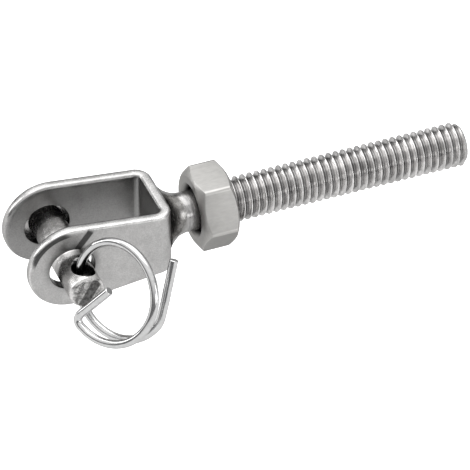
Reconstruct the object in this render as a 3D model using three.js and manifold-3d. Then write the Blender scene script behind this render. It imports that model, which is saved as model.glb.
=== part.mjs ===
// Threaded fork terminal of an M6 rigging turnbuckle, in millimetres.
// Origin: centre of the clevis holes, midway between the two ears.
// +X runs along the stud to its threaded end, -Y is the side where the pin's tip and its
// split ring are, +Y is the side of the pin's head, and +Z is up.
import * as THREE from 'three';
import { mergeVertices } from 'three/addons/utils/BufferGeometryUtils.js';
import Module from 'manifold-3d';

// ---------- driving dimensions ----------
const GAP = 0.3; // clearance left between pieces that touch
const MARGIN = 1; // by which a cutting shape runs past the piece that it cuts

// fork, bent from one strip of sheet
const SHEET = 1.5;
const FORK_WIDTH = 11.0; // over the outside of the two ears
const BACK_X = 13.9; // outer face of the back plate
const BACK_HEIGHT = 9.1;
const BEND_RADIUS = 2.2; // outside of each bend
const EAR_RADIUS = 5.9;
const EAR_CENTRE_X = 0.2; // centre of the ear's round end
const CLEVIS_HOLE = 6.0;
const BEND_FACETS = 8;
const EAR_FACETS = 28;
const HOLE_FACETS = 36;

// stud, metric coarse thread
const THREAD_DIAMETER = 5.86;
const THREAD_ROOT = 4.86;
const PITCH = 1.0;
const THREAD_HAND = -1; // 1 is a right-hand thread, -1 a left-hand one
const THREAD_PHASE = 0.81; // share of a pitch by which the crests are shifted along +X
const CREST_HALF = 0.1; // half of the crest's flat, in pitches
const ROOT_START = 0.4; // from the crest's middle to the root's flat, in pitches
const NECK_DIAMETER = 5.24;
const THREAD_START_X = 19.6;
const THREAD_RUN_IN = 0.3; // from the plain neck up to the thread
const STUD_END_X = 55.7;
const STUD_END_CHAMFER = 0.55;
const THREAD_FACETS = 10; // round the stud, and along one pitch

// weld fillet between the stud and the back plate
const WELD_RADIUS = 4.3;
const WELD_TIP_X = 17.4;
const WELD_EDGE = 0.1; // thickness left at the fillet's thin end
const WELD_CURVE = 2.6; // exponent of the flare
const WELD_FACETS = 32;

// hexagonal lock nut
const NUT_FLATS = 10.0;
const NUT_START_X = 18.05;
const NUT_THICKNESS = 4.9;
const NUT_FACE_RADIUS = 4.55;
const NUT_CHAMFER_SLOPE = Math.tan(THREE.MathUtils.degToRad(32));
const NUT_TURN = THREE.MathUtils.degToRad(33.5); // of one corner from +Z
const NUT_BORE = 6.46;
const NUT_COUNTERSINK = 7.3;
const NUT_FACETS = 48;
const BORE_FACETS = 32;

// clevis pin
const PIN_DIAMETER = 4.5;
const PIN_X = 0.28; // the pin rests low in its holes
const PIN_Z = -0.35;
const PIN_TIP_Y = -10.3;
const PIN_TIP_CHAMFER = 0.35;
const PIN_HEAD_DIAMETER = 8.4;
const PIN_HEAD_THICKNESS = 1.8;
const PIN_HEAD_BEVEL = 0.3;
const CROSS_HOLE = 2.9;
const CROSS_HOLE_SINK = 0.5; // depth and widening of the countersink at each mouth
const CROSS_HOLE_Y = -7.75;
const CROSS_HOLE_LEAN = THREE.MathUtils.degToRad(11.5);
const PIN_FACETS = 32;
const CROSS_HOLE_FACETS = 28;

// split ring, a coil of round wire
const WIRE_DIAMETER = 1.12;
const RING_RADIUS = 6.35; // to the wire's centre
const RING_RISE = 2.71; // along the coil's axis, in one turn
const RING_OUTWARD = new THREE.Vector3(0.555, -0.815, 0.167); // from the cross hole to the coil's centre
const RING_ALONG = new THREE.Vector3(0.2, 0.325, 0.924); // the wire's direction in the cross hole
const RING_SHIFT = new THREE.Vector3(-0.19, 0.33, 0.09); // the wire's middle from the hole's middle
const FRONT_ARC = THREE.MathUtils.degToRad(309); // from the hole, over the top, to the bent leg
const REAR_ARC = THREE.MathUtils.degToRad(155); // from the hole, below the pin, to the straight tail
const LEG_TURN = THREE.MathUtils.degToRad(97); // how far the leg is bent into the coil
const LEG_BEND_RADIUS = 0.95;
const LEG_LENGTH = 5.9;
const TAIL_TURN = THREE.MathUtils.degToRad(17.5); // how far the tail leans into the coil
const TAIL_LENGTH = 8.0;
const COIL_STEP = THREE.MathUtils.degToRad(9); // between neighbouring points of the coil
const WIRE_STEPS = 110; // along the whole wire
const WIRE_SIDES = 10;

const FORK_FACE_Y = FORK_WIDTH / 2;
const MERGE_DISTANCE = 1e-5;
const SMALL_X = 0.01; // well below the spacing of the stud's rings of points
const SMALL_ANGLE = 0.01;
const X_AXIS = new THREE.Vector3(1, 0, 0);
const Y_AXIS = new THREE.Vector3(0, 1, 0);

// ---------- solids ----------
const wasm = await Module();
wasm.setup();

/** A three.js geometry as a solid that can be joined and cut. */
function toSolid(geometry) {
  const bare = geometry.clone();
  for (const name of ['normal', 'uv']) bare.deleteAttribute(name);
  const merged = mergeVertices(bare, MERGE_DISTANCE);
  return new wasm.Manifold(new wasm.Mesh({
    numProp: 3,
    vertProperties: new Float32Array(merged.attributes.position.array),
    triVerts: new Uint32Array(merged.index.array),
  }));
}

/** A solid as a three.js geometry. */
function toGeometry(solid) {
  const mesh = solid.getMesh();
  const geometry = new THREE.BufferGeometry();
  geometry.setAttribute('position', new THREE.BufferAttribute(mesh.vertProperties, 3));
  geometry.setIndex(new THREE.BufferAttribute(mesh.triVerts, 1));
  geometry.computeVertexNormals();
  return geometry;
}

/** Revolves [distance along the axis, radius] pairs about `axis` through the origin. */
function turned(profile, axis, segments) {
  const points = profile.map(([along, radius]) => new THREE.Vector2(radius, along));
  const geometry = new THREE.LatheGeometry(points, segments);
  const turn = new THREE.Quaternion().setFromUnitVectors(Y_AXIS, axis);
  return geometry.applyQuaternion(turn);
}

/** A plain cylinder whose middle is at `centre`. */
function rod(diameter, length, axis, centre, segments) {
  const geometry = new THREE.CylinderGeometry(diameter / 2, diameter / 2, length, segments);
  geometry.applyQuaternion(new THREE.Quaternion().setFromUnitVectors(Y_AXIS, axis));
  return geometry.translate(centre.x, centre.y, centre.z);
}

// ---------- fork ----------
/** The strip seen from above: two ears joined by the back plate through two round bends. */
function forkPlan() {
  const open = -EAR_RADIUS - MARGIN; // beyond the ears' round ends
  const outer = FORK_FACE_Y;
  const inner = FORK_FACE_Y - SHEET;
  const innerBend = BEND_RADIUS - SHEET;
  const bendX = BACK_X - BEND_RADIUS;
  const plan = new THREE.Shape();
  plan.moveTo(open, -outer);
  plan.lineTo(bendX, -outer);
  plan.absarc(bendX, -outer + BEND_RADIUS, BEND_RADIUS, -Math.PI / 2, 0, false);
  plan.lineTo(BACK_X, outer - BEND_RADIUS);
  plan.absarc(bendX, outer - BEND_RADIUS, BEND_RADIUS, 0, Math.PI / 2, false);
  plan.lineTo(open, outer);
  plan.lineTo(open, inner);
  plan.lineTo(bendX, inner);
  plan.absarc(bendX, inner - innerBend, innerBend, Math.PI / 2, 0, true);
  plan.lineTo(BACK_X - SHEET, -inner + innerBend);
  plan.absarc(bendX, -inner + innerBend, innerBend, 0, -Math.PI / 2, true);
  plan.lineTo(open, -inner);
  plan.closePath();
  return plan;
}

/** The strip seen from the side: a round ear that narrows in straight lines to the back plate. */
function forkSide() {
  const cornerX = BACK_X - BEND_RADIUS;
  const cornerZ = BACK_HEIGHT / 2;
  const reach = Math.hypot(cornerX - EAR_CENTRE_X, cornerZ);
  const tangent = Math.atan2(cornerZ, cornerX - EAR_CENTRE_X) + Math.acos(EAR_RADIUS / reach);
  const side = new THREE.Shape();
  side.moveTo(BACK_X + MARGIN, -cornerZ);
  side.lineTo(BACK_X + MARGIN, cornerZ);
  side.lineTo(cornerX, cornerZ);
  side.absarc(EAR_CENTRE_X, 0, EAR_RADIUS, tangent, 2 * Math.PI - tangent, false);
  side.lineTo(cornerX, -cornerZ);
  side.closePath();
  return side;
}

function forkGeometry() {
  const tall = 2 * EAR_RADIUS + 2 * MARGIN;
  const planDepth = { depth: tall, bevelEnabled: false, curveSegments: BEND_FACETS };
  const plan = new THREE.ExtrudeGeometry(forkPlan(), planDepth);
  plan.translate(0, 0, -tall / 2);
  const wide = FORK_WIDTH + 2 * MARGIN;
  const sideDepth = { depth: wide, bevelEnabled: false, curveSegments: EAR_FACETS };
  const side = new THREE.ExtrudeGeometry(forkSide(), sideDepth);
  side.rotateX(Math.PI / 2).translate(0, wide / 2, 0);
  const hole = rod(CLEVIS_HOLE, wide, Y_AXIS, new THREE.Vector3(), HOLE_FACETS);
  return toGeometry(toSolid(plan).intersect(toSolid(side)).subtract(toSolid(hole)));
}

// ---------- stud ----------
/** Radius of a metric thread, where `phase` runs from 0 to 1 over one pitch and a crest is at 0. */
function threadRadius(phase) {
  const fromCrest = Math.abs(phase - Math.round(phase));
  const depth = THREE.MathUtils.clamp((fromCrest - CREST_HALF) / (ROOT_START - CREST_HALF), 0, 1);
  return THREE.MathUtils.lerp(THREAD_DIAMETER, THREAD_ROOT, depth) / 2;
}

/** Turned blank with a ring of points every tenth of a pitch, shaped into a helical thread. */
function studGeometry() {
  const footX = BACK_X + GAP;
  const rings = Math.round((STUD_END_X - THREAD_START_X) / PITCH * THREAD_FACETS);
  const step = (STUD_END_X - THREAD_START_X) / rings;
  const profile = [[STUD_END_X, 0]];
  for (let i = 0; i <= rings; i += 1) profile.push([STUD_END_X - i * step, THREAD_DIAMETER / 2]);
  profile.push([THREAD_START_X - THREAD_RUN_IN, NECK_DIAMETER / 2], [footX, NECK_DIAMETER / 2], [footX, 0]);
  const geometry = turned(profile, X_AXIS, THREAD_FACETS);
  geometry.index.array.reverse(); // the profile runs backwards, so the faces are turned outwards
  const point = new THREE.Vector3();
  const position = geometry.attributes.position;
  for (let i = 0; i < position.count; i += 1) {
    point.fromBufferAttribute(position, i);
    const radius = Math.hypot(point.y, point.z);
    if (radius < MERGE_DISTANCE || point.x < THREAD_START_X - SMALL_X) continue;
    const turn = Math.atan2(point.z, point.y) / (2 * Math.PI);
    const full = threadRadius(point.x / PITCH - THREAD_HAND * turn - THREAD_PHASE);
    const runOut = THREE.MathUtils.smoothstep(point.x, THREAD_START_X, THREAD_START_X + PITCH);
    const chamfer = THREAD_DIAMETER / 2 - STUD_END_CHAMFER + (STUD_END_X - point.x);
    const shaped = Math.min(THREE.MathUtils.lerp(NECK_DIAMETER / 2, full, runOut), chamfer);
    position.setXYZ(i, point.x, point.y * shaped / radius, point.z * shaped / radius);
  }
  return toGeometry(toSolid(geometry));
}

// ---------- weld fillet ----------
/** A trumpet-shaped fillet round the stud's foot. */
function weldGeometry() {
  const footX = BACK_X + GAP;
  const innerRadius = NECK_DIAMETER / 2 + GAP;
  const length = WELD_TIP_X - footX;
  const flare = WELD_RADIUS - innerRadius - WELD_EDGE;
  const profile = [[footX, innerRadius], [footX, WELD_RADIUS]];
  const steps = 7;
  for (let i = 1; i <= steps; i += 1) {
    const t = i / steps;
    profile.push([footX + length * t, WELD_RADIUS - flare * (1 - (1 - t) ** WELD_CURVE)]);
  }
  profile.push([WELD_TIP_X, innerRadius], [footX, innerRadius]);
  const geometry = turned(profile, X_AXIS, WELD_FACETS);
  return toGeometry(toSolid(geometry));
}

// ---------- lock nut ----------
function nutGeometry() {
  const corner = NUT_FLATS / Math.sqrt(3);
  const middle = new THREE.Vector3(NUT_START_X + NUT_THICKNESS / 2, 0, 0);
  const hexagon = new THREE.CylinderGeometry(corner, corner, NUT_THICKNESS, 6);
  hexagon.rotateZ(-Math.PI / 2).rotateX(NUT_TURN).translate(middle.x, 0, 0);
  const wide = corner + MARGIN / 2;
  const bevel = (wide - NUT_FACE_RADIUS) * NUT_CHAMFER_SLOPE;
  const half = NUT_THICKNESS / 2;
  const outline = [[-half, 0], [-half, NUT_FACE_RADIUS], [-half + bevel, wide],
    [half - bevel, wide], [half, NUT_FACE_RADIUS], [half, 0]];
  const blank = turned(outline, X_AXIS, NUT_FACETS).translate(middle.x, 0, 0);
  const sink = (NUT_COUNTERSINK - NUT_BORE) / 2;
  const mouth = NUT_COUNTERSINK / 2 + MARGIN;
  const bore = [[-half - MARGIN, 0], [-half - MARGIN, mouth], [-half + sink, NUT_BORE / 2],
    [half - sink, NUT_BORE / 2], [half + MARGIN, mouth], [half + MARGIN, 0]];
  const drill = turned(bore, X_AXIS, BORE_FACETS).translate(middle.x, 0, 0);
  return toGeometry(toSolid(hexagon).intersect(toSolid(blank)).subtract(toSolid(drill)));
}

// ---------- clevis pin ----------
const crossHoleAxis = new THREE.Vector3(Math.sin(CROSS_HOLE_LEAN), 0, Math.cos(CROSS_HOLE_LEAN));
const crossHoleCentre = new THREE.Vector3(PIN_X, CROSS_HOLE_Y, PIN_Z);

function pinGeometry() {
  const radius = PIN_DIAMETER / 2;
  const headFace = FORK_FACE_Y + GAP;
  const headEnd = headFace + PIN_HEAD_THICKNESS;
  const headRadius = PIN_HEAD_DIAMETER / 2;
  const profile = [[PIN_TIP_Y, 0], [PIN_TIP_Y, radius - PIN_TIP_CHAMFER],
    [PIN_TIP_Y + PIN_TIP_CHAMFER, radius], [headFace, radius], [headFace, headRadius],
    [headEnd - PIN_HEAD_BEVEL, headRadius],
    [headEnd, headRadius - PIN_HEAD_BEVEL], [headEnd, 0]];
  const blank = turned(profile, Y_AXIS, PIN_FACETS).translate(PIN_X, 0, PIN_Z);
  const sinkStart = radius - CROSS_HOLE_SINK;
  const beyond = radius + MARGIN;
  const narrow = CROSS_HOLE / 2;
  const wide = narrow + beyond - sinkStart;
  const drill = [[-beyond, 0], [-beyond, wide], [-sinkStart, narrow],
    [sinkStart, narrow], [beyond, wide], [beyond, 0]];
  const hole = turned(drill, crossHoleAxis, CROSS_HOLE_FACETS).translate(...crossHoleCentre);
  return toGeometry(toSolid(blank).subtract(toSolid(hole)));
}

// ---------- split ring ----------
const ringOutward = RING_OUTWARD.clone().normalize();
const ringAlong = RING_ALONG.clone().addScaledVector(ringOutward, -RING_ALONG.dot(ringOutward)).normalize();
const ringNormal = new THREE.Vector3().crossVectors(ringOutward, ringAlong);
const ringCentre = crossHoleCentre.clone().add(RING_SHIFT).addScaledVector(ringOutward, RING_RADIUS);

/** A point of the coil, `angle` round from the cross hole. */
function coilPoint(angle) {
  return ringCentre.clone()
    .addScaledVector(ringOutward, -RING_RADIUS * Math.cos(angle))
    .addScaledVector(ringAlong, RING_RADIUS * Math.sin(angle))
    .addScaledVector(ringNormal, RING_RISE * angle / (2 * Math.PI));
}

/** Direction in which the coil runs at `angle`; `sense` is 1 towards the leg and -1 towards the tail. */
function coilDirection(angle, sense) {
  return coilPoint(angle + sense * SMALL_ANGLE).sub(coilPoint(angle)).normalize();
}

/** Direction from a point of the coil towards the coil's axis. */
function coilInward(point) {
  return ringCentre.clone().sub(point).projectOnPlane(ringNormal).normalize();
}

/** Tail, coil and bent leg, as one line along the middle of the wire. */
function ringPoints() {
  const points = [];
  const tailRoot = coilPoint(-REAR_ARC);
  const tailDirection = coilDirection(-REAR_ARC, -1).multiplyScalar(Math.cos(TAIL_TURN))
    .addScaledVector(coilInward(tailRoot), Math.sin(TAIL_TURN));
  for (const share of [1, 0.75, 0.5, 0.25]) {
    points.push(tailRoot.clone().addScaledVector(tailDirection, TAIL_LENGTH * share));
  }
  for (let angle = -REAR_ARC + COIL_STEP / 2; angle < FRONT_ARC; angle += COIL_STEP) {
    points.push(coilPoint(angle));
  }
  const legRoot = coilPoint(FRONT_ARC);
  const arrive = coilDirection(FRONT_ARC, 1);
  const inward = coilInward(legRoot);
  points.push(legRoot);
  for (const share of [0.25, 0.5, 0.75, 1]) {
    const angle = LEG_TURN * share;
    points.push(legRoot.clone()
      .addScaledVector(arrive, LEG_BEND_RADIUS * Math.sin(angle))
      .addScaledVector(inward, LEG_BEND_RADIUS * (1 - Math.cos(angle))));
  }
  const leave = arrive.multiplyScalar(Math.cos(LEG_TURN)).addScaledVector(inward, Math.sin(LEG_TURN));
  const bendEnd = points[points.length - 1];
  for (const share of [0.33, 0.66, 1]) {
    points.push(bendEnd.clone().addScaledVector(leave, LEG_LENGTH * share));
  }
  return points;
}

function ringGeometry() {
  const path = new THREE.CatmullRomCurve3(ringPoints(), false, 'centripetal');
  const section = new THREE.Shape();
  for (let i = 0; i < WIRE_SIDES; i += 1) {
    const angle = 2 * Math.PI * i / WIRE_SIDES;
    const x = Math.cos(angle) * WIRE_DIAMETER / 2;
    const y = Math.sin(angle) * WIRE_DIAMETER / 2;
    if (i === 0) section.moveTo(x, y);
    else section.lineTo(x, y);
  }
  section.closePath();
  const sweep = { steps: WIRE_STEPS, bevelEnabled: false, extrudePath: path };
  const wire = new THREE.ExtrudeGeometry(section, sweep);
  return toGeometry(toSolid(wire));
}

// ---------- assembly ----------
function steel(color, roughness) {
  return new THREE.MeshStandardMaterial({ color, roughness, metalness: 1 });
}

const satinSteel = steel(0xb9b7b4, 0.42);
const rolledSteel = steel(0xaeacab, 0.3);
const nutSteel = steel(0xbdbbb7, 0.45);
const weldSteel = steel(0x8f8d8b, 0.35);
const springSteel = steel(0xd8d8d8, 0.14);

const group = new THREE.Group();

function add(name, geometry, material) {
  const mesh = new THREE.Mesh(geometry, material);
  mesh.name = name;
  group.add(mesh);
}

add('fork', forkGeometry(), satinSteel);
add('threaded_stud', studGeometry(), rolledSteel);
add('weld_fillet', weldGeometry(), weldSteel);
add('lock_nut', nutGeometry(), nutSteel);
add('clevis_pin', pinGeometry(), satinSteel);
add('cotter_ring', ringGeometry(), springSteel);

export default group;
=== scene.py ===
# Threaded fork terminal of a rigging turnbuckle: fine meshes, steel materials, light and camera
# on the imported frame. Lengths are in millimetres until a mesh is made.
import math

import bmesh
import bpy
from mathutils import Matrix, Vector, noise


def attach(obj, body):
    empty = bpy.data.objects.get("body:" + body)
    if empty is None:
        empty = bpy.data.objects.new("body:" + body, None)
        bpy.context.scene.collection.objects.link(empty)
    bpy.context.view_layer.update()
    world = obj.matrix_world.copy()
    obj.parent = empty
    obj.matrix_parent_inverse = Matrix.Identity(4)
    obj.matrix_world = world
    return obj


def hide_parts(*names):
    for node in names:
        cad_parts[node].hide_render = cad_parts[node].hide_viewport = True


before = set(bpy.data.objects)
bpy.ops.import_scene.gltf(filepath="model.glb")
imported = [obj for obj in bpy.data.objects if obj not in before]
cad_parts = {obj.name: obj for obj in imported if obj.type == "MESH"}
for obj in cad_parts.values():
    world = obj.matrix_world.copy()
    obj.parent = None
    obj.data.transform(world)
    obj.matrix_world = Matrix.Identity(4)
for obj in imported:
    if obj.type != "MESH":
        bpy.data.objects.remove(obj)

MM = 0.001
MERGE_DISTANCE = 1e-7
CORNER_SHARE = 0.45  # of a line, at most, that the rounding of one corner takes
GRAIN_HEIGHT = 0.02
SMALL = 0.01
X_AXIS, Y_AXIS, Z_AXIS = Vector((1, 0, 0)), Vector((0, 1, 0)), Vector((0, 0, 1))
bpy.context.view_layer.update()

# ---------- dimensions of the pieces ----------
SHEET, FORK_WIDTH, BACK_X, BACK_HEIGHT, BEND_RADIUS = 1.5, 11.0, 13.9, 9.1, 2.2
EAR_RADIUS, EAR_CENTRE_X, CLEVIS_HOLE = 5.9, 0.2, 6.0
FORK_EDGE = 0.48  # rounding of the sheet's edges
HOLE_EDGE = 0.1  # and of its two holes
BORE_REACH, BORE_FADE = 0.12, 0.1  # how far the painted shade of a hole's wall spreads on the ear
# INSIDE_GAIN sets the painted shade on the faces inside the U; RIM_GAIN sets the painted highlight on the
# sheet's edges
INSIDE_GAIN, RIM_GAIN = 1.6, 1.2

THREAD_DIAMETER, THREAD_ROOT, PITCH, THREAD_PHASE = 5.86, 4.8, 1.0, 0.81
THREAD_HAND = -1  # 1 is a right-hand thread, -1 a left-hand one
THREAD_RINGS = 20  # in one pitch
CREST_HALF, FLANK = 0.07, 0.33  # in pitches
FLANK_START, FLANK_SPAN = 0.2, 0.6  # stretch of a half wave that shapes the flank
NECK_DIAMETER, THREAD_START_X, STUD_END_X, STUD_END_CHAMFER = 5.24, 19.6, 55.7, 0.55
STUD_SINK, THREAD_RUN_IN = 0.2, 0.35
NECK_RINGS_X, END_RINGS = (16.0, 17.6), (1.6, 0.8, 0)

WELD_RADIUS, WELD_TIP_X, WELD_CURVE, WELD_RINGS = 4.3, 17.4, 2.6, 24
WELD_SINK, WELD_ROUNDING, WELD_LIFT = 0.1, 0.25, 0.02
WELD_TIP_DEPTH = 0.03  # of the thin end, below the neck's surface
WAVE_HEIGHT, WAVE_ALONG, WAVE_AROUND = 0.07, 0.9, 2.2

NUT_FLATS, NUT_START_X, NUT_THICKNESS, NUT_FACE_RADIUS = 10.0, 18.05, 4.9, 4.55
NUT_BORE, NUT_COUNTERSINK = 6.0, 7.2
NUT_CHAMFER, NUT_TURN = math.radians(32), math.radians(3.5)  # NUT_TURN is of one corner from +Y
FLAT_ANGLES = [NUT_TURN + math.pi / 6 + k * math.pi / 3 for k in range(6)]
CORNER_POWER = 70  # higher makes the corners sharper
NUT_BORE_LIMIT, NUT_BORE_FADE = 3.45, 0.2  # radius inside which the nut gets painted shade
# where the painted highlight on the nut's corners and chamfers lies
CORNER_LIMIT, CORNER_WIDTH, CHAMFER_LIMIT, SLOPE_GAIN = 5.6, 0.012, 4.7, 3

PIN_DIAMETER, PIN_X, PIN_Z, PIN_TIP_Y, PIN_TIP_CHAMFER = 4.5, 0.28, -0.35, -10.3, 0.35
PIN_HEAD_DIAMETER, PIN_HEAD_START_Y, PIN_HEAD_END_Y = 8.4, 5.52, 7.6
CROSS_HOLE, CROSS_HOLE_SINK, CROSS_HOLE_Y, CROSS_HOLE_LEAN = 2.9, 0.5, -7.75, math.radians(11.5)
HOLE_CENTRE = Vector((PIN_X, CROSS_HOLE_Y, PIN_Z))
PIN_MESH_STEP, DRILL_ROUNDING = 0.3, 0.5
HOLE_WALL_REACH, SKIN = 0.4, 0.12  # where the cross hole's wall gets painted shade
EDGE_ROUNDING = 0.1  # of the nut's and the pin's edges

WIRE_DIAMETER, RING_RADIUS, RING_RISE = 1.12, 6.35, 2.71
RING_OUTWARD, RING_ALONG = Vector((0.555, -0.815, 0.167)), Vector((0.2, 0.325, 0.924))
RING_SHIFT = Vector((-0.19, 0.33, 0.09))
FRONT_ARC, REAR_ARC = math.radians(309), math.radians(155)
LEG_TURN, LEG_BEND_RADIUS, LEG_LENGTH = math.radians(97), 0.95, 5.9
TAIL_TURN, TAIL_LENGTH = math.radians(17.5), 8.0
COIL_STEP, SMALL_ANGLE = math.radians(9), 0.01
TAIL_END = ((0, 0), (0.5, 0), (0.86, 0), (1, 0.08))  # share of the radius, distance in from the end
LEG_END = ((1, 0.1), (0.84, 0), (0.5, 0), (0, 0))


# ---------- mesh helpers ----------
def fillet(points, radius, steps=3):
    """A 2-D line with each inner corner rounded off; the number of points is always the same."""
    rounded = [points[0]]
    for before, corner, after in zip(points, points[1:], points[2:]):
        back, ahead = before - corner, after - corner
        start = corner + back.normalized() * min(radius, CORNER_SHARE * back.length)
        end = corner + ahead.normalized() * min(radius, CORNER_SHARE * ahead.length)
        for i in range(steps + 1):
            t = i / steps
            rounded.append(start.lerp(corner, t).lerp(corner.lerp(end, t), t))
    rounded.append(points[-1])
    return rounded


def clamp(value):
    return min(1, max(0, value))


def add_object(name, data):
    made = bpy.data.objects.new(name, data)
    bpy.context.scene.collection.objects.link(made)
    return made


def to_mesh(name, work):
    """Turns a bmesh in millimetres into a mesh in metres, and frees it."""
    bmesh.ops.scale(work, vec=(MM, MM, MM), verts=work.verts)
    bmesh.ops.remove_doubles(work, verts=work.verts, dist=MERGE_DISTANCE)
    bmesh.ops.recalc_face_normals(work, faces=work.faces)
    mesh = bpy.data.meshes.new(name)
    work.to_mesh(mesh)
    work.free()
    return mesh


def finish_mesh(name, work, body, node, material, sharp=38):
    """Makes a piece that rides on a body and replaces a CAD node."""
    mesh = to_mesh(name, work)
    mesh.shade_smooth()
    mesh.set_sharp_from_angle(angle=math.radians(sharp))
    mesh.materials.append(material)
    piece = add_object(name, mesh)
    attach(piece, body)
    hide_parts(node)
    return piece


def add_grid(work, rows, closed=False):
    """Joins rows of points with four-sided faces; `closed` joins the last row to the first."""
    made = [[work.verts.new(point) for point in row] for row in rows]
    pairs = list(zip(made, made[1:]))
    if closed:
        pairs.append((made[-1], made[0]))
    for row, following in pairs:
        for a, b, c, d in zip(row, row[1:], following[1:], following):
            work.faces.new((a, b, c, d))


def add_turned(work, profile_at, axis, side, centre=Vector(), sides=96):
    """Revolves profile_at(angle), a list of (along, radius), about `axis`; angle 0 is at `side`."""
    across = axis.cross(side)
    rows = []
    for i in range(sides):
        angle = 2 * math.pi * i / sides
        out = side * math.cos(angle) + across * math.sin(angle)
        rows.append([centre + axis * p[0] + out * p[1] for p in profile_at(angle)])
    add_grid(work, rows, closed=True)


def pairs_to_vectors(*pairs):
    return [Vector(pair) for pair in pairs]


# ---------- materials ----------
def steel(name, color, rough, grain=0.1, grain_size=0.22, mottle=0.06, mottle_size=1.6,
          stretch=(1, 1, 1), speckle=0.04):
    """Bare steel: fine grain in the bump, slow mottling in colour and roughness."""
    material = bpy.data.materials.new(name)
    material.use_nodes = True
    nodes, links = material.node_tree.nodes, material.node_tree.links
    shader = nodes["Principled BSDF"]
    shader.inputs["Metallic"].default_value = 1
    shader.inputs["Specular Tint"].default_value = (0.6, 0.6, 0.6, 1)
    place = nodes.new("ShaderNodeTexCoord")
    scaled = nodes.new("ShaderNodeMapping")
    scaled.inputs["Scale"].default_value = stretch
    links.new(place.outputs["Object"], scaled.inputs["Vector"])

    fine = nodes.new("ShaderNodeTexNoise")
    fine.inputs["Scale"].default_value = 1 / (grain_size * MM)
    fine.inputs["Detail"].default_value = 3
    slow = nodes.new("ShaderNodeTexNoise")
    slow.inputs["Scale"].default_value = 1 / (mottle_size * MM)
    slow.inputs["Detail"].default_value = 4
    for texture in (fine, slow):
        links.new(scaled.outputs["Vector"], texture.inputs["Vector"])

    tone = math_node(nodes, links, "MULTIPLY",
                     ramp(nodes, links, slow.outputs["Fac"], 0.3, 0.7, 1 - mottle, 1 + mottle),
                     ramp(nodes, links, fine.outputs["Fac"], 0.3, 0.7, 1 - speckle, 1 + speckle))
    paint = nodes.new("ShaderNodeVectorMath")
    paint.operation = "SCALE"
    paint.inputs[0].default_value = color
    links.new(tone, paint.inputs["Scale"])
    links.new(paint.outputs["Vector"], shader.inputs["Base Color"])

    gloss = ramp(nodes, links, slow.outputs["Fac"], 0.3, 0.7, rough * 0.82, rough * 1.2)
    links.new(gloss, shader.inputs["Roughness"])

    bump = nodes.new("ShaderNodeBump")
    bump.inputs["Strength"].default_value = grain
    bump.inputs["Distance"].default_value = GRAIN_HEIGHT * MM
    links.new(fine.outputs["Fac"], bump.inputs["Height"])
    links.new(bump.outputs["Normal"], shader.inputs["Normal"])
    return material, nodes, links, shader, place


def coordinate(nodes, links, place, axis):
    """One object coordinate of the surface, in millimetres."""
    split = nodes.new("ShaderNodeSeparateXYZ")
    links.new(place.outputs["Object"], split.inputs["Vector"])
    scaled = nodes.new("ShaderNodeMath")
    scaled.operation = "MULTIPLY"
    scaled.inputs[1].default_value = 1 / MM
    links.new(split.outputs[axis], scaled.inputs[0])
    return scaled.outputs[0]


def math_node(nodes, links, operation, first, second=None):
    node = nodes.new("ShaderNodeMath")
    node.operation = operation
    for socket, value in zip(node.inputs, (first, second)):
        if value is None:
            continue
        if isinstance(value, (int, float)):
            socket.default_value = value
        else:
            links.new(value, socket)
    return node.outputs[0]


def ramp(nodes, links, value, low, high, start, end):
    """Goes smoothly from `start` to `end` while `value` goes from `low` to `high`."""
    node = nodes.new("ShaderNodeMapRange")
    node.interpolation_type = "SMOOTHSTEP"
    for key, number in (("From Min", low), ("From Max", high), ("To Min", start), ("To Max", end)):
        node.inputs[key].default_value = number
    links.new(value, node.inputs["Value"])
    return node.outputs["Result"]


def multiply_color(nodes, links, shader, factor):
    """Darkens or lightens the base colour by a factor that varies over the surface."""
    old = shader.inputs["Base Color"].links[0].from_socket
    scale = nodes.new("ShaderNodeVectorMath")
    scale.operation = "SCALE"
    links.new(old, scale.inputs[0])
    links.new(factor, scale.inputs["Scale"])
    links.new(scale.outputs["Vector"], shader.inputs["Base Color"])


def attribute(nodes, name):
    node = nodes.new("ShaderNodeAttribute")
    node.attribute_name = name
    return node.outputs["Fac"]


def near_line(nodes, links, first, second, start, end, half_width, soft):
    """1 close to a straight stroke between two points of the plane of two coordinates, else 0."""
    along = Vector(end) - Vector(start)
    unit = along.normalized()

    def project(direction, origin):
        parts = []
        for value, zero, share in zip((first, second), origin, direction):
            off_zero = math_node(nodes, links, "SUBTRACT", value, zero)
            parts.append(math_node(nodes, links, "MULTIPLY", off_zero, share))
        return math_node(nodes, links, "ADD", *parts)

    off = math_node(nodes, links, "ABSOLUTE", project((-unit.y, unit.x), start))
    run = project(unit, start)
    beside = ramp(nodes, links, off, half_width, half_width + soft, 1, 0)
    begun = ramp(nodes, links, run, -soft, soft, 0, 1)
    ended = ramp(nodes, links, run, along.length - soft, along.length + soft, 1, 0)
    return math_node(nodes, links, "MULTIPLY", beside, math_node(nodes, links, "MULTIPLY", begun, ended))


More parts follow.
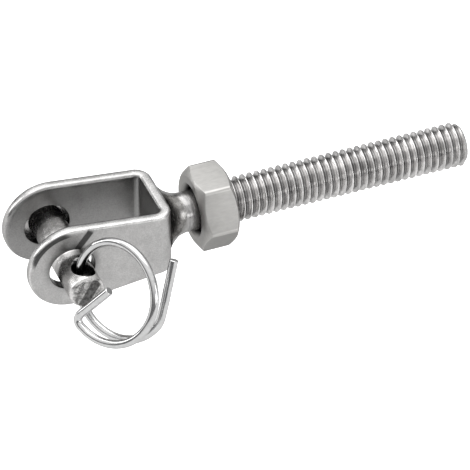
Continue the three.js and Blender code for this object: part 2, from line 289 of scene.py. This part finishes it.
def fork_material():
    material, nodes, links, shader, place = steel(
        "satin_steel", (0.51, 0.505, 0.50), 0.36, grain=0.6, grain_size=0.15, mottle=0.09, speckle=0.11)
    x, y, z = (coordinate(nodes, links, place, axis) for axis in "XYZ")
    inside, rim, bore = (attribute(nodes, name) for name in ("inside", "rim", "bore"))
    # painted shade on the faces inside the U, between the ears
    multiply_color(nodes, links, shader, ramp(nodes, links, inside, 0, 1, 1.0, 0.6))
    # painted highlight along the sheet's rounded edges, and a painted dark line where they face straight
    # sideways
    multiply_color(nodes, links, shader, ramp(nodes, links, rim, 0.1, 0.5, 1.0, 1.45))
    multiply_color(nodes, links, shader, ramp(nodes, links, rim, 0.75, 1.0, 1.0, 0.72))
    # painted shade on the walls of the clevis holes and just round them
    multiply_color(nodes, links, shader, ramp(nodes, links, bore, 0, 1, 1.0, 0.12))
    rough = shader.inputs["Roughness"].links[0].from_socket
    polish = ramp(nodes, links, rim, 0, 0.6, 1.0, 0.6)
    links.new(math_node(nodes, links, "MULTIPLY", rough, polish), shader.inputs["Roughness"])

    # painted shade on the outer face of the ear at the pin's tip: round the hole, stronger above, a dark
    # stroke and a dark crescent along the upper rim
    tip_side = ramp(nodes, links, y, -5.5, -5.0, 1, 0)
    radius = math_node(nodes, links, "SQRT", math_node(
        nodes, links, "ADD", math_node(nodes, links, "MULTIPLY", x, x),
        math_node(nodes, links, "MULTIPLY", z, z)))
    painted_shade_halo = ramp(nodes, links, radius, 3.0, 4.4, 0.62, 0)
    upper = ramp(nodes, links, z, -3.0, 2.5, 0.35, 1)
    painted_shade_halo = math_node(nodes, links, "MULTIPLY", painted_shade_halo, upper)
    # the stroke is a painted dark streak of shade running up from the hole
    stroke = near_line(nodes, links, x, z, (0.6, 2.8), (2.6, 5.3), 0.3, 0.3)
    from_ear = math_node(nodes, links, "ABSOLUTE", math_node(nodes, links, "SUBTRACT", radius, 5.42))
    crescent = math_node(nodes, links, "MULTIPLY", ramp(nodes, links, from_ear, 0.22, 0.42, 1, 0),
                         near_line(nodes, links, x, z, (-5.2, 2.0), (-0.6, 5.8), 1.2, 0.7))
    painted_shade_marks = math_node(nodes, links, "MAXIMUM", painted_shade_halo, math_node(nodes, links, "MAXIMUM", stroke, crescent))
    painted_shade_marks = math_node(nodes, links, "MULTIPLY", painted_shade_marks, tip_side)
    multiply_color(nodes, links, shader, ramp(nodes, links, painted_shade_marks, 0, 1, 1.0, 0.16))
    return material


def thread_material():
    material, nodes, links, shader, place = steel(
        "thread_steel", (0.62, 0.61, 0.605), 0.24, grain=0.9, grain_size=0.3, mottle=0.2,
        mottle_size=0.9, stretch=(1, 0.3, 0.3), speckle=0.16)
    depth = attribute(nodes, "depth")
    # painted highlight on the thread's crests and painted shade in its roots
    multiply_color(nodes, links, shader, ramp(nodes, links, depth, 0.0, 0.12, 1.25, 1.0))
    multiply_color(nodes, links, shader, ramp(nodes, links, depth, 0.5, 1.0, 1.0, 0.42))
    # painted shade on the neck where it enters the nut, short of the thread
    along = coordinate(nodes, links, place, "X")
    multiply_color(nodes, links, shader, ramp(
        nodes, links, along, THREAD_START_X - 0.6, THREAD_START_X, 0.5, 1.0))
    return material


def nut_material():
    material, nodes, links, shader, _ = steel(
        "nut_steel", (0.38, 0.374, 0.363), 0.38, grain=0.35, grain_size=0.3, mottle=0.07,
        mottle_size=1.8, stretch=(0.35, 1, 1), speckle=0.05)
    # painted highlight on the nut's corners and chamfers
    multiply_color(nodes, links, shader, ramp(nodes, links, attribute(nodes, "arris"), 0, 1, 1.0, 1.4))
    # painted shade in the nut's bore
    multiply_color(nodes, links, shader, ramp(nodes, links, attribute(nodes, "bore"), 0, 1, 1.0, 0.12))
    return material


def weld_material():
    material, nodes, links, shader, place = steel(
        "weld_steel", (0.43, 0.423, 0.415), 0.24, grain=0.5, grain_size=0.4, mottle=0.25, mottle_size=0.9,
        speckle=0.1)
    along = coordinate(nodes, links, place, "X")
    # painted shade on the weld in the corner against the back plate
    multiply_color(nodes, links, shader, ramp(nodes, links, along, 14.0, 15.6, 0.6, 1.0))
    return material


def pin_material():
    material, nodes, links, shader, place = steel(
        "pin_steel", (0.72, 0.71, 0.70), 0.24, grain=0.3, grain_size=0.3, mottle=0.1, mottle_size=1.2,
        speckle=0.08)
    x, y, z = (coordinate(nodes, links, place, axis) for axis in "XYZ")
    # painted shade on the pin where it passes through the ears and next to its head
    across = math_node(nodes, links, "ABSOLUTE", y)
    in_ear = math_node(nodes, links, "ABSOLUTE", math_node(nodes, links, "SUBTRACT", across, 5.0))
    multiply_color(nodes, links, shader, ramp(nodes, links, in_ear, 0.45, 0.8, 0.62, 1.0))
    # painted shade in the cross hole
    multiply_color(nodes, links, shader, ramp(nodes, links, attribute(nodes, "bore"), 0, 1, 1.0, 0.1))

    # the sawn tip is darker and streaked, with one dark band across it
    sawn = ramp(nodes, links, y, PIN_TIP_Y + 0.05, PIN_TIP_Y + 0.15, 1, 0)
    band = near_line(nodes, links, x, z, (2.2, 2.2), (-0.9, -2.8), 0.5, 0.3)
    streaks = nodes.new("ShaderNodeTexNoise")
    streaks.inputs["Scale"].default_value = 1 / (0.35 * MM)
    streaks.inputs["Detail"].default_value = 5
    links.new(place.outputs["Object"], streaks.inputs["Vector"])
    rough_cut = ramp(nodes, links, streaks.outputs["Fac"], 0.35, 0.65, 0.4, 0.95)
    shade = math_node(nodes, links, "MULTIPLY", rough_cut, ramp(nodes, links, band, 0, 1, 1.0, 0.25))
    shade = math_node(nodes, links, "SUBTRACT", 1, math_node(
        nodes, links, "MULTIPLY", sawn, math_node(nodes, links, "SUBTRACT", 1, shade)))
    multiply_color(nodes, links, shader, shade)
    return material


def wire_material():
    return steel("spring_steel", (0.68, 0.68, 0.68), 0.12, grain=0.05, grain_size=0.4, mottle=0.04)[0]


# ---------- fork ----------
BEND_MIDDLE = BEND_RADIUS - SHEET / 2
HALF_BACK = FORK_WIDTH / 2 - BEND_RADIUS
BEND_START_X = BACK_X - BEND_RADIUS
BEND_LENGTH = BEND_MIDDLE * math.pi / 2
POLAR_X = 6.4  # the mesh is polar round the hole up to here
EAR_RAYS, FRONT_RAYS, RADIAL_STEPS = 112, 28, 6
STRAIGHT_STEPS, BEND_STEPS, BACK_STEPS = 12, 12, 6  # along the strip


def fork_point(x, z, depth, side):
    """A point of the bent strip. Past the bend's start, x goes on along the middle of the sheet."""
    over = x - BEND_START_X
    if over <= 0:
        return Vector((x, side * (FORK_WIDTH / 2 - SHEET / 2 + depth), z))
    radius = BEND_MIDDLE + depth
    if over <= BEND_LENGTH:
        angle = over / BEND_MIDDLE
        return Vector((BEND_START_X + radius * math.sin(angle),
                       side * (HALF_BACK + radius * math.cos(angle)), z))
    along = HALF_BACK - (over - BEND_LENGTH)
    return Vector((BACK_X - SHEET / 2 + depth, side * along, z))


REACH = math.hypot(BEND_START_X - EAR_CENTRE_X, BACK_HEIGHT / 2)
TANGENT = (math.atan2(BACK_HEIGHT / 2, BEND_START_X - EAR_CENTRE_X)
           + math.acos(EAR_RADIUS / REACH))
TANGENT_POINT = Vector((EAR_CENTRE_X + EAR_RADIUS * math.cos(TANGENT),
                        EAR_RADIUS * math.sin(TANGENT)))


def strip_height(x):
    """Half of the strip's height where its edges are the straight lines."""
    if x >= BEND_START_X:
        return BACK_HEIGHT / 2
    share = (x - TANGENT_POINT.x) / (BEND_START_X - TANGENT_POINT.x)
    return TANGENT_POINT.y + share * (BACK_HEIGHT / 2 - TANGENT_POINT.y)


def outline_hit(angle):
    """Where a ray from the hole's centre meets the ear's outline, its outward normal, and
    whether it is a free edge."""
    ray = Vector((math.cos(angle), math.sin(angle)))
    centre = Vector((EAR_CENTRE_X, 0))
    b = ray.dot(centre)
    reach = b + math.sqrt(b * b - centre.length_squared + EAR_RADIUS ** 2)
    arc = ray * reach
    if arc.x <= TANGENT_POINT.x:
        return arc, (arc - centre).normalized(), True
    sign = 1 if ray.y >= 0 else -1
    slope = (BACK_HEIGHT / 2 - TANGENT_POINT.y) / (BEND_START_X - TANGENT_POINT.x)
    edge = ray * ((TANGENT_POINT.y - slope * TANGENT_POINT.x) / (abs(ray.y) - slope * ray.x))
    if edge.x <= POLAR_X + 1e-6:
        return edge, Vector((0, sign)), True
    return ray * (POLAR_X / ray.x), Vector((1, 0)), False


def outward_at(x, y):
    """Direction out of the U, through the thickness of the sheet."""
    side = math.copysign(1, y)
    if x < BEND_START_X:
        return Vector((0, side, 0))
    if abs(y) < HALF_BACK:
        return X_AXIS
    return Vector((x - BEND_START_X, y - side * HALF_BACK, 0)).normalized()


def edge_section(radius, steps=5):
    """The rounded edge as (inset, depth) from the outer face to the inner one."""
    half = SHEET / 2
    points = []
    for i in range(steps + 1):
        turn = math.pi / 2 * i / steps
        points.append((radius * (1 - math.sin(turn)), half - radius * (1 - math.cos(turn))))
    return points + [(inset, -depth) for inset, depth in reversed(points)]


def build_fork(material):
    work = bmesh.new()
    corner = math.atan2(strip_height(POLAR_X), POLAR_X)
    angles = [corner + (2 * math.pi - 2 * corner) * i / EAR_RAYS for i in range(EAR_RAYS + 1)]
    front = [-corner + 2 * corner * i / FRONT_RAYS for i in range(FRONT_RAYS + 1)]
    section = edge_section(FORK_EDGE)
    half = SHEET / 2
    for side in (-1, 1):
        def put(point, inset, normal, depth):
            return fork_point(point.x - normal.x * inset, point.y - normal.y * inset, depth, side)
        for depth in (half, -half):
            rows = []
            for angle in angles + front[1:]:
                hit, normal, free = outline_hit(angle)
                outer = hit - normal * FORK_EDGE if free else hit
                if not free and abs(outer.y) > strip_height(POLAR_X) - FORK_EDGE:
                    limit = strip_height(POLAR_X) - FORK_EDGE
                    outer = Vector((POLAR_X, math.copysign(limit, outer.y)))
                inner = Vector((math.cos(angle), math.sin(angle))) * (CLEVIS_HOLE / 2 + HOLE_EDGE)
                rows.append([fork_point(p.x, p.y, depth, side)
                             for p in (inner.lerp(outer, k / RADIAL_STEPS)
                                       for k in range(RADIAL_STEPS + 1))])
            add_grid(work, rows)
        rows = []
        for angle in angles:
            hit, normal, _ = outline_hit(angle)
            if angle in (angles[0], angles[-1]):
                hit = Vector((POLAR_X, math.copysign(strip_height(POLAR_X), hit.y)))
            rows.append([put(hit, inset, normal, depth) for inset, depth in section])
        add_grid(work, rows)
        rows = []
        for angle in angles + front[1:-1]:
            ray = Vector((math.cos(angle), math.sin(angle)))
            edge = [(CLEVIS_HOLE / 2 + inset, depth) for inset, depth in edge_section(HOLE_EDGE)]
            rows.append([fork_point(ray.x * radius, ray.y * radius, depth, side)
                         for radius, depth in edge])
        add_grid(work, rows, closed=True)
        stations = [POLAR_X + (BEND_START_X - POLAR_X) * i / STRAIGHT_STEPS
                    for i in range(STRAIGHT_STEPS + 1)]
        stations += [BEND_START_X + BEND_LENGTH * i / BEND_STEPS for i in range(1, BEND_STEPS + 1)]
        stations += [BEND_START_X + BEND_LENGTH + HALF_BACK * i / BACK_STEPS
                     for i in range(1, BACK_STEPS + 1)]
        shares = [math.tan(angle) * POLAR_X / strip_height(POLAR_X) for angle in front]
        for depth in (half, -half):
            rows = []
            for x in stations:
                limit = strip_height(x) - FORK_EDGE
                heights = [max(-limit, min(limit, share * strip_height(x))) for share in shares]
                rows.append([fork_point(x, height, depth, side) for height in heights])
            add_grid(work, rows)
        for sign in (-1, 1):
            rows = [[fork_point(x, sign * (strip_height(x) - inset), depth, side)
                     for inset, depth in section] for x in stations]
            add_grid(work, rows)
    piece = finish_mesh("fork_sheet", work, "terminal", "fork", material, sharp=50)
    mesh = piece.data
    # masks for painted light: inside for painted shade inside the U, rim for the painted highlight on the
    # edges, bore for painted shade on the hole walls
    names = ("inside", "rim", "bore")
    inside, rim, bore = (mesh.attributes.new(name, "FLOAT", "POINT").data for name in names)
    for i, vertex in enumerate(mesh.vertices):
        x, y, z = vertex.co / MM
        facing = vertex.normal.dot(outward_at(x, y))
        inside[i].value = clamp(-INSIDE_GAIN * facing)
        rim[i].value = min(1, RIM_GAIN * (1 - abs(facing)))
        bore[i].value = clamp((CLEVIS_HOLE / 2 + BORE_REACH - math.hypot(x, z)) / BORE_FADE)


# ---------- stud ----------
def thread_depth(phase):
    """0 on the crest, 1 in the root, for a phase in pitches with a crest at 0."""
    from_crest = abs(phase - round(phase))
    depth = clamp((from_crest - CREST_HALF) / FLANK)
    if depth in (0, 1):
        return depth
    return 0.5 - 0.5 * math.cos(math.pi * (FLANK_START + FLANK_SPAN * depth))


def build_stud(material):
    count = round((STUD_END_X - THREAD_START_X) / PITCH * THREAD_RINGS)
    low, high = NECK_DIAMETER / 2, THREAD_DIAMETER / 2

    def profile(angle):
        stations = (BACK_X - STUD_SINK, *NECK_RINGS_X, THREAD_START_X - THREAD_RUN_IN)
        points = [(x, low) for x in stations]
        for i in range(count + 1):
            x = THREAD_START_X + (STUD_END_X - THREAD_START_X) * i / count
            depth = thread_depth(x / PITCH - THREAD_HAND * angle / (2 * math.pi) - THREAD_PHASE)
            full = high + (THREAD_ROOT / 2 - high) * depth
            run = min(1, (x - THREAD_START_X) / PITCH)
            radius = low + (full - low) * run * run * (3 - 2 * run)
            points.append((x, min(radius, high - STUD_END_CHAMFER + STUD_END_X - x)))
        return points + [(STUD_END_X, radius) for radius in END_RINGS]

    work = bmesh.new()
    add_turned(work, profile, X_AXIS, Y_AXIS, sides=88)
    piece = finish_mesh("stud_thread", work, "terminal", "threaded_stud", material, 60)
    # depth into the thread, for the painted highlight on the crests and the painted shade in the roots
    depth = piece.data.attributes.new("depth", "FLOAT", "POINT")
    for i, vertex in enumerate(piece.data.vertices):
        x, y, z = vertex.co / MM
        if THREAD_START_X < x < STUD_END_X - SMALL:
            depth.data[i].value = clamp((high - math.hypot(y, z)) / (high - THREAD_ROOT / 2))


# ---------- weld ----------
def build_weld(material):
    foot = BACK_X + WELD_LIFT
    thin = NECK_DIAMETER / 2 - WELD_TIP_DEPTH

    def profile(angle):
        points = [(BACK_X - WELD_SINK, WELD_RADIUS - WELD_ROUNDING), (foot, WELD_RADIUS)]
        for i in range(1, WELD_RINGS + 1):
            t = i / WELD_RINGS
            x = foot + (WELD_TIP_X - foot) * t
            radius = thin + (WELD_RADIUS - thin) * (1 - t) ** WELD_CURVE
            wave = noise.noise(Vector((
                x * WAVE_ALONG, math.cos(angle) * WAVE_AROUND, math.sin(angle) * WAVE_AROUND)))
            points.append((x, radius + WAVE_HEIGHT * wave * math.sin(math.pi * t)))
        return points

    work = bmesh.new()
    add_turned(work, profile, X_AXIS, Y_AXIS, sides=72)
    finish_mesh("weld_bead", work, "terminal", "weld_fillet", material)


# ---------- lock nut ----------
def hex_radius(angle):
    """Distance to the hexagon at an angle, with slightly rounded corners."""
    total = 0
    for flat in FLAT_ANGLES:
        facing = math.cos(angle - flat)
        if facing > 0:
            total += (facing * 2 / NUT_FLATS) ** CORNER_POWER
    return total ** (-1 / CORNER_POWER)


def build_nut(material):
    end = NUT_START_X + NUT_THICKNESS
    sink = (NUT_COUNTERSINK - NUT_BORE) / 2

    def profile(angle):
        corner = hex_radius(angle)
        drop = (corner - NUT_FACE_RADIUS) * math.tan(NUT_CHAMFER)
        line = pairs_to_vectors(
            (NUT_START_X + NUT_THICKNESS / 2, NUT_BORE / 2), (NUT_START_X + sink, NUT_BORE / 2),
            (NUT_START_X, NUT_COUNTERSINK / 2), (NUT_START_X, NUT_FACE_RADIUS),
            (NUT_START_X + drop, corner), (end - drop, corner), (end, NUT_FACE_RADIUS),
            (end, NUT_COUNTERSINK / 2), (end - sink, NUT_BORE / 2),
            (NUT_START_X + NUT_THICKNESS / 2, NUT_BORE / 2))
        return fillet(line, EDGE_ROUNDING)

    work = bmesh.new()
    add_turned(work, profile, X_AXIS, Y_AXIS, sides=240)
    piece = finish_mesh("nut_hexagon", work, "nut", "lock_nut", material, sharp=60)
    # bore marks where the nut gets painted shade, arris where it gets a painted highlight
    bore, arris = (piece.data.attributes.new(name, "FLOAT", "POINT").data for name in ("bore", "arris"))
    for i, vertex in enumerate(piece.data.vertices):
        x, y, z = vertex.co / MM
        radius = math.hypot(y, z)
        bore[i].value = clamp((NUT_BORE_LIMIT - radius) / NUT_BORE_FADE)
        off_flat = 1 - max(math.cos(math.atan2(z, y) - flat) * radius * 2 / NUT_FLATS
                           for flat in FLAT_ANGLES)
        slope = 1 - max(abs(vertex.normal.x), math.hypot(vertex.normal.y, vertex.normal.z))
        if radius > CORNER_LIMIT and abs(off_flat) < CORNER_WIDTH:
            arris[i].value = 1
        elif radius > CHAMFER_LIMIT:
            arris[i].value = min(1, SLOPE_GAIN * slope)


# ---------- clevis pin ----------
def build_pin(material):
    radius = PIN_DIAMETER / 2
    head = PIN_HEAD_DIAMETER / 2
    centre = Vector((PIN_X, 0, PIN_Z))
    line = pairs_to_vectors(
        (PIN_TIP_Y, 0), (PIN_TIP_Y, radius - PIN_TIP_CHAMFER), (PIN_TIP_Y + PIN_TIP_CHAMFER, radius),
        (PIN_HEAD_START_Y, radius), (PIN_HEAD_START_Y, head), (PIN_HEAD_END_Y, head),
        (PIN_HEAD_END_Y, 0))
    profile = fillet(line, EDGE_ROUNDING)
    fine = []
    for a, b in zip(profile, profile[1:]):
        steps = max(1, math.ceil((b - a).length / PIN_MESH_STEP))
        fine += [a.lerp(b, i / steps) for i in range(steps)]
    fine.append(profile[-1])
    work = bmesh.new()
    add_turned(work, lambda angle: fine, Y_AXIS, X_AXIS, centre, sides=128)
    piece = finish_mesh("pin_shank", work, "pin", "clevis_pin", material, sharp=30)

    axis = Vector((math.sin(CROSS_HOLE_LEAN), 0, math.cos(CROSS_HOLE_LEAN)))
    narrow, start, beyond = CROSS_HOLE / 2, radius - CROSS_HOLE_SINK, radius + 1
    wide = narrow + beyond - start
    waist = pairs_to_vectors((-beyond, wide), (-start, narrow), (start, narrow), (beyond, wide))
    drill = fillet(waist, DRILL_ROUNDING, steps=6)
    drill = pairs_to_vectors((-beyond, 0)) + drill + pairs_to_vectors((beyond, 0))
    cutter_work = bmesh.new()
    add_turned(cutter_work, lambda angle: drill, axis, Y_AXIS, HOLE_CENTRE, sides=80)
    cutter = add_object("drill", to_mesh("drill", cutter_work))
    cut = piece.modifiers.new("cross_hole", "BOOLEAN")
    cut.operation, cut.solver, cut.object = "DIFFERENCE", "EXACT", cutter
    bpy.context.view_layer.update()
    evaluated = piece.evaluated_get(bpy.context.evaluated_depsgraph_get())
    holed = bpy.data.meshes.new_from_object(evaluated)
    piece.modifiers.clear()
    piece.data = holed
    holed.shade_smooth()
    holed.set_sharp_from_angle(angle=math.radians(30))
    bpy.data.objects.remove(cutter)
    # bore marks the cross hole's wall for painted shade
    bore = holed.attributes.new("bore", "FLOAT", "POINT").data
    for i, vertex in enumerate(holed.vertices):
        place = vertex.co / MM - HOLE_CENTRE
        from_axis = (place - axis * place.dot(axis)).length
        under_skin = radius - math.hypot(place.x, place.z)
        bore[i].value = float(from_axis < narrow + HOLE_WALL_REACH and under_skin > SKIN)


# ---------- split ring ----------
def catmull_rom(points, steps):
    """A smooth centripetal curve through the points."""
    ends = [points[0] * 2 - points[1]] + points + [points[-1] * 2 - points[-2]]
    line = []
    for p0, p1, p2, p3 in zip(ends, ends[1:], ends[2:], ends[3:]):
        t0 = 0
        t1 = t0 + math.sqrt((p1 - p0).length)
        t2 = t1 + math.sqrt((p2 - p1).length)
        t3 = t2 + math.sqrt((p3 - p2).length)
        for i in range(steps):
            t = t1 + (t2 - t1) * i / steps
            a1 = p0 * ((t1 - t) / (t1 - t0)) + p1 * ((t - t0) / (t1 - t0))
            a2 = p1 * ((t2 - t) / (t2 - t1)) + p2 * ((t - t1) / (t2 - t1))
            a3 = p2 * ((t3 - t) / (t3 - t2)) + p3 * ((t - t2) / (t3 - t2))
            b1 = a1 * ((t2 - t) / (t2 - t0)) + a2 * ((t - t0) / (t2 - t0))
            b2 = a2 * ((t3 - t) / (t3 - t1)) + a3 * ((t - t1) / (t3 - t1))
            line.append(b1 * ((t2 - t) / (t2 - t1)) + b2 * ((t - t1) / (t2 - t1)))
    line.append(points[-1])
    return line


def ring_path():
    outward = RING_OUTWARD.normalized()
    along = (RING_ALONG - outward * RING_ALONG.dot(outward)).normalized()
    normal = outward.cross(along)
    hole = HOLE_CENTRE + RING_SHIFT
    centre = hole + outward * RING_RADIUS

    def coil(angle):
        return (centre - outward * (RING_RADIUS * math.cos(angle))
                + along * (RING_RADIUS * math.sin(angle))
                + normal * (RING_RISE * angle / (2 * math.pi)))

    def direction(angle, sense):
        return (coil(angle + sense * SMALL_ANGLE) - coil(angle)).normalized()

    def inward(point):
        towards = centre - point
        return (towards - normal * towards.dot(normal)).normalized()

    root = coil(-REAR_ARC)
    tail = direction(-REAR_ARC, -1) * math.cos(TAIL_TURN) + inward(root) * math.sin(TAIL_TURN)
    points = [root + tail * (TAIL_LENGTH * share) for share in (1, 0.75, 0.5, 0.25)]
    angle = -REAR_ARC + COIL_STEP / 2
    while angle < FRONT_ARC:
        points.append(coil(angle))
        angle += COIL_STEP
    root = coil(FRONT_ARC)
    arrive, centrewards = direction(FRONT_ARC, 1), inward(root)
    points.append(root)
    for share in (0.25, 0.5, 0.75, 1):
        turn = LEG_TURN * share
        points.append(root + arrive * (LEG_BEND_RADIUS * math.sin(turn))
                      + centrewards * (LEG_BEND_RADIUS * (1 - math.cos(turn))))
    leave = arrive * math.cos(LEG_TURN) + centrewards * math.sin(LEG_TURN)
    bend_end = points[-1]
    points += [bend_end + leave * (LEG_LENGTH * share) for share in (0.33, 0.66, 1)]
    return catmull_rom(points, 8)


def build_ring(material, sides=28):
    path = ring_path()
    radius = WIRE_DIAMETER / 2
    tangent = (path[1] - path[0]).normalized()
    side = tangent.cross(Z_AXIS).normalized()
    rows = []

    def circle(centre, across, axis, size):
        other = axis.cross(across)
        return [centre + (across * math.cos(2 * math.pi * i / sides)
                          + other * math.sin(2 * math.pi * i / sides)) * size for i in range(sides + 1)]

    for i, point in enumerate(path):
        ahead = path[min(i + 1, len(path) - 1)] - path[max(i - 1, 0)]
        tangent = ahead.normalized()
        side = (side - tangent * side.dot(tangent)).normalized()
        if i == 0:
            rows += [circle(point + tangent * inset, side, tangent, radius * share)
                     for share, inset in TAIL_END]
        elif i == len(path) - 1:
            rows += [circle(point - tangent * inset, side, tangent, radius * share)
                     for share, inset in LEG_END]
        else:
            rows.append(circle(point, side, tangent, radius))
    work = bmesh.new()
    add_grid(work, rows)
    finish_mesh("ring_wire", work, "ring", "cotter_ring", material, sharp=40)


# ---------- scene ----------
FLOOR_LEVEL = -0.035  # in metres, clear below the hanging part


def area_light(name, place, target, size, energy, size_y=None):
    data = bpy.data.lights.new(name, "AREA")
    data.shape = "RECTANGLE"
    data.size, data.size_y = size, size_y or size
    data.energy = energy
    light = add_object(name, data)
    light.location = place
    light.rotation_euler = (Vector(place) - Vector(target)).to_track_quat("Z", "Y").to_euler()


def build_world():
    """Pale behind the object; reflections see a bright ceiling over a dark room."""
    world = bpy.data.worlds.new("studio")
    bpy.context.scene.world = world
    world.use_nodes = True
    nodes, links = world.node_tree.nodes, world.node_tree.links
    place = nodes.new("ShaderNodeTexCoord")
    split = nodes.new("ShaderNodeSeparateXYZ")
    links.new(place.outputs["Generated"], split.inputs["Vector"])
    height = nodes.new("ShaderNodeValToRGB")
    links.new(split.outputs["Z"], height.inputs["Fac"])
    stops = height.color_ramp.elements
    stops[0].position, stops[0].color = 0.0, (0.16, 0.16, 0.165, 1)
    stops[1].position, stops[1].color = 0.9, (1.0, 1.0, 1.0, 1)
    for position, value in ((0.2, 0.18), (0.4, 0.6), (0.6, 0.88)):
        stop = stops.new(position)
        stop.color = (value, value, value, 1)
    background = nodes["Background"]
    links.new(height.outputs["Color"], background.inputs["Color"])
    behind = nodes.new("ShaderNodeBackground")
    behind.inputs["Color"].default_value = (0.93, 0.93, 0.93, 1)
    path, mix = nodes.new("ShaderNodeLightPath"), nodes.new("ShaderNodeMixShader")
    links.new(path.outputs["Is Camera Ray"], mix.inputs["Fac"])
    links.new(background.outputs[0], mix.inputs[1])
    links.new(behind.outputs[0], mix.inputs[2])
    links.new(mix.outputs[0], nodes["World Output"].inputs["Surface"])


def build_floor(level):
    work = bmesh.new()
    reach = 4.0
    bmesh.ops.create_grid(work, x_segments=1, y_segments=1, size=reach)
    mesh = bpy.data.meshes.new("floor")
    work.to_mesh(mesh)
    work.free()
    material = bpy.data.materials.new("floor_white")
    material.use_nodes = True
    nodes, links = material.node_tree.nodes, material.node_tree.links
    seen = nodes["Principled BSDF"]
    seen.inputs["Roughness"].default_value = 0.9
    seen.inputs["Emission Color"].default_value = (1, 1, 1, 1)
    seen.inputs["Emission Strength"].default_value = 0.6
    speckle = nodes.new("ShaderNodeTexNoise")
    speckle.inputs["Scale"].default_value = 12
    place = nodes.new("ShaderNodeTexCoord")
    links.new(place.outputs["Object"], speckle.inputs["Vector"])
    links.new(ramp(nodes, links, speckle.outputs["Fac"], 0, 1, 0.9, 0.94), seen.inputs["Base Color"])
    bounced = nodes.new("ShaderNodeBsdfDiffuse")
    bounced.inputs["Color"].default_value = (0.74, 0.74, 0.74, 1)
    path, mix = nodes.new("ShaderNodeLightPath"), nodes.new("ShaderNodeMixShader")
    links.new(path.outputs["Is Camera Ray"], mix.inputs["Fac"])
    links.new(bounced.outputs[0], mix.inputs[1])
    links.new(seen.outputs[0], mix.inputs[2])
    links.new(mix.outputs[0], nodes["Material Output"].inputs["Surface"])
    mesh.materials.append(material)
    floor = add_object("floor", mesh)
    floor.location.z = level


def build_camera():
    azimuth, elevation = math.radians(-21.8), math.radians(39.06)
    distance, aside, above = 481.6, 22.364, 1.034
    away = Vector((math.sin(azimuth) * math.cos(elevation), -math.cos(azimuth) * math.cos(elevation),
                   math.sin(elevation)))
    right = Vector((math.cos(azimuth), math.sin(azimuth), 0))
    up = away.cross(right)
    data = bpy.data.cameras.new("camera")
    data.sensor_width = 36
    data.lens = 292.4
    data.clip_start, data.clip_end = 0.05, 20
    camera = add_object("camera", data)
    place = (away * distance + right * aside + up * above) * MM
    camera.matrix_world = Matrix.Translation(place) @ Matrix((right, up, away)).transposed().to_4x4()
    bpy.context.scene.camera = camera


build_fork(fork_material())
build_stud(thread_material())
build_weld(weld_material())
build_nut(nut_material())
build_pin(pin_material())
build_ring(wire_material())

build_world()
build_floor(FLOOR_LEVEL)
CENTRE = (0.024, 0, 0)
area_light("top", (0.05, 0.25, 0.8), CENTRE, 1.0, 3.9)
area_light("front", (0.19, -0.56, 0.14), CENTRE, 0.3, 0.3, size_y=0.16)
area_light("back_left", (-0.5, 0.4, 0.25), CENTRE, 0.18, 0.9, size_y=0.5)
area_light("front_right", (0.5, -0.5, 0.15), CENTRE, 0.18, 0.6, size_y=0.4)
build_camera()
bpy.context.scene.view_settings.view_transform = "Standard"
